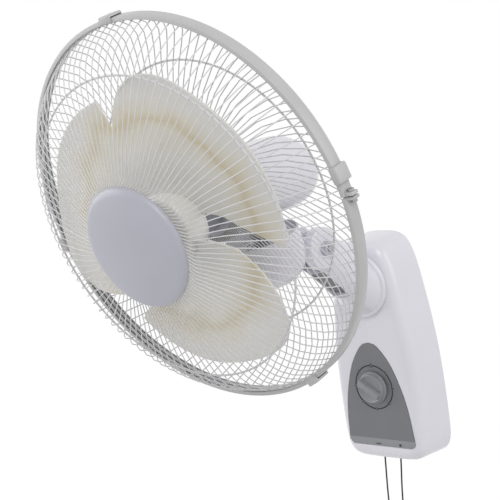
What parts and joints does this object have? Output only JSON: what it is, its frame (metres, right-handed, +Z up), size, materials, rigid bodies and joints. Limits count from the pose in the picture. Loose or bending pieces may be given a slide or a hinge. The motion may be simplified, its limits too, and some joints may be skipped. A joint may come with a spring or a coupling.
{
  "type": "wall mounted fan",
  "caption": "Wall fan: guarded three-blade head that tilts and swings on a neck arm, tall base with a timer dial and two pull cords.",
  "frame": {"origin": "on the wall plane, behind the middle of the base", "axes": "+Z up the wall, +Y into the wall, the fan reaches out along -Y, and x = 0 is its middle plane"},
  "size_m": [0.4404, 0.4161, 0.7545],
  "materials": {
    "gloss_white": "glossy moulded ABS",
    "pale_grey": "satin moulded ABS",
    "panel_grey": "satin painted panel",
    "blade": "milky translucent moulding",
    "coated_wire": "powder coated steel wire",
    "hoop_grey": "satin moulded nylon",
    "steel": "zinc plated steel",
    "dark_plastic": "matt black plastic",
    "lamination": "dark varnished steel laminations",
    "cord": "braided nylon"
  },
  "bodies": {
    "base": {"wall_bracket": "steel", "base_back_cover": "gloss_white", "base_housing": "gloss_white", "control_panel": "panel_grey", "timer_body": "dark_plastic", "swing_switch": "dark_plastic", "speed_switch": "dark_plastic", "run_capacitor": "dark_plastic", "terminal_block": "pale_grey", "swing_eyelet": "dark_plastic", "speed_eyelet": "dark_plastic", "power_inlet": "dark_plastic", "neck_arm": "gloss_white", "neck_stiffener": "steel", "tilt_bolt": "steel", "tilt_nut": "pale_grey"},
    "timer": {"timer_knob": "pale_grey"},
    "swing_pull": {"swing_cord": "cord", "swing_bell": "gloss_white"},
    "speed_pull": {"speed_cord": "cord", "speed_bell": "gloss_white"},
    "yoke": {"yoke_frame": "pale_grey", "yoke_cover": "gloss_white", "swing_motor": "lamination", "swing_post": "steel", "swing_washer": "steel"},
    "crank": {"swing_crank": "steel"},
    "head": {"motor_bracket": "steel", "motor_front_bell": "pale_grey", "motor_rear_bell": "steel", "motor_rear_cover": "gloss_white", "stator": "lamination", "front_bearing": "steel", "rear_bearing": "steel", "rear_grille": "coated_wire", "grille_nut": "pale_grey", "guard_hoop": "hoop_grey", "hoop_clip_1": "hoop_grey", "hoop_clip_2": "hoop_grey", "hoop_clip_3": "hoop_grey", "hoop_clip_4": "hoop_grey", "hoop_screw": "steel", "front_grille": "coated_wire", "badge": "pale_grey"},
    "blades": {"motor_rotor": "lamination", "motor_shaft": "steel", "impeller": "blade", "blade_nut": "pale_grey"}
  },
  "joints": [
    {"name": "tilt", "type": "hinge", "parent": "base", "child": "yoke", "pos_m": [0, -0.14, 0.143], "axis": [1, 0, 0], "range_deg": [-13.5, 16.5]},
    {"name": "swing", "type": "hinge", "parent": "yoke", "child": "head", "pos_m": [0, -0.21742, 0.1822], "axis": [0, -0.2334, 0.9724], "range_deg": [-45, 45]},
    {"name": "crank_turn", "type": "hinge", "parent": "yoke", "child": "crank", "pos_m": [0, -0.22734, 0.15925], "axis": [0, -0.2334, 0.9724], "range_deg": [-90, 90]},
    {"name": "blades_spin", "type": "hinge", "parent": "head", "child": "blades", "pos_m": [0, -0.317, 0.22], "axis": [0, 0.9724, 0.2334], "continuous": true},
    {"name": "timer_turn", "type": "hinge", "parent": "base", "child": "timer", "pos_m": [0, -0.06, -0.047], "axis": [0, 1, 0], "range_deg": [-122, 178]},
    {"name": "swing_pull_travel", "type": "slide", "parent": "base", "child": "swing_pull", "axis": [0, 0, -1], "range_m": [0, 0.012], "stiffness_N_per_m": 150},
    {"name": "speed_pull_travel", "type": "slide", "parent": "base", "child": "speed_pull", "axis": [0, 0, -1], "range_m": [0, 0.012], "stiffness_N_per_m": 150}
  ],
  "couplings": [
    {"joint": "crank_turn", "follows": "swing", "ratio": 2}
  ]
}
